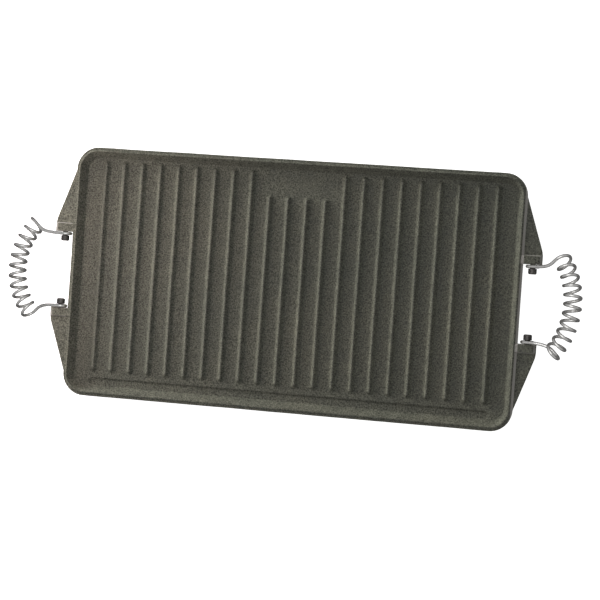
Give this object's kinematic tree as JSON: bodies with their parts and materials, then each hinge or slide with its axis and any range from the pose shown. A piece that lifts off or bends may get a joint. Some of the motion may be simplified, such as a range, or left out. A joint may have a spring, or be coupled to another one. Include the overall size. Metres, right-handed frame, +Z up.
{
  "type": "ribbed grill plate",
  "caption": "Long shallow cast-iron grill plate with raised ribs, a raised rim, a grease gutter and coiled-wire bail handles at both ends.",
  "frame": {"origin": "centre of the plate's footprint, on the plane that its foot stands on", "axes": "+X along the plate towards the right-hand handle, +Y towards the back edge, away from the grease gutter, +Z up out of the ribbed face"},
  "size_m": [0.5557, 0.2344, 0.0412],
  "materials": {
    "cast_iron": "sand-cast, dry dark grey-brown",
    "pin_steel": "darkened, dull",
    "handle_wire": "bright plated wire"
  },
  "bodies": {
    "plate": {"grill_plate": "cast_iron", "handle_pin_right_rear": "pin_steel", "handle_pin_right_front": "pin_steel", "handle_pin_left_rear": "pin_steel", "handle_pin_left_front": "pin_steel"},
    "handle_right": {"spring_handle_right": "handle_wire"},
    "handle_left": {"spring_handle_left": "handle_wire"}
  },
  "joints": [
    {"name": "right_handle_swing", "type": "hinge", "parent": "plate", "child": "handle_right", "pos_m": [0.2248, 0, 0.0125], "axis": [0, -1, 0], "range_deg": [-26, 83]},
    {"name": "left_handle_swing", "type": "hinge", "parent": "plate", "child": "handle_left", "pos_m": [-0.2248, 0, 0.0125], "axis": [0, 1, 0], "range_deg": [0, 110]}
  ]
}
